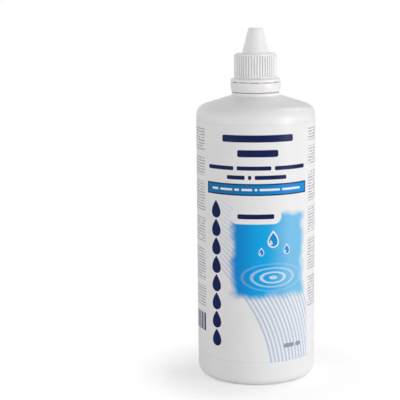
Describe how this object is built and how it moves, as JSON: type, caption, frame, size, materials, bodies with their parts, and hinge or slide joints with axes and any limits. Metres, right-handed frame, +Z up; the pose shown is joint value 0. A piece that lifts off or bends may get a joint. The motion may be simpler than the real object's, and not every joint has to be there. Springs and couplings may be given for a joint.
{
  "type": "contact lens solution bottle",
  "caption": "Round squeeze bottle with a wrap label, a dropper nozzle in its neck, a tamper band and a ribbed screw cap with a pointed tip.",
  "frame": {"origin": "centre of the standing ring, on the surface that the bottle stands on", "axes": "+Z up along the bottle's axis, -Y towards the front of the label"},
  "size_m": [0.0622, 0.0622, 0.1835],
  "materials": {
    "bottle_plastic": "satin white squeeze plastic, slightly translucent",
    "label_film": "printed film with blue print on white",
    "nozzle_plastic": "natural translucent plastic",
    "band_plastic": "thin white plastic",
    "cap_plastic": "smooth white plastic"
  },
  "bodies": {
    "bottle": {"bottle": "bottle_plastic", "label": "label_film", "dropper_nozzle": "nozzle_plastic"},
    "band": {"tamper_band": "band_plastic"},
    "cap": {"screw_cap": "cap_plastic"}
  },
  "joints": [
    {"name": "cap_turn", "type": "hinge", "parent": "bottle", "child": "band", "pos_m": [0, 0, 0.1525], "axis": [0, 0, 1], "range_deg": [0, 540]},
    {"name": "cap_lift", "type": "slide", "parent": "band", "child": "cap", "axis": [0, 0, 1], "range_m": [0, 0.04]}
  ]
}
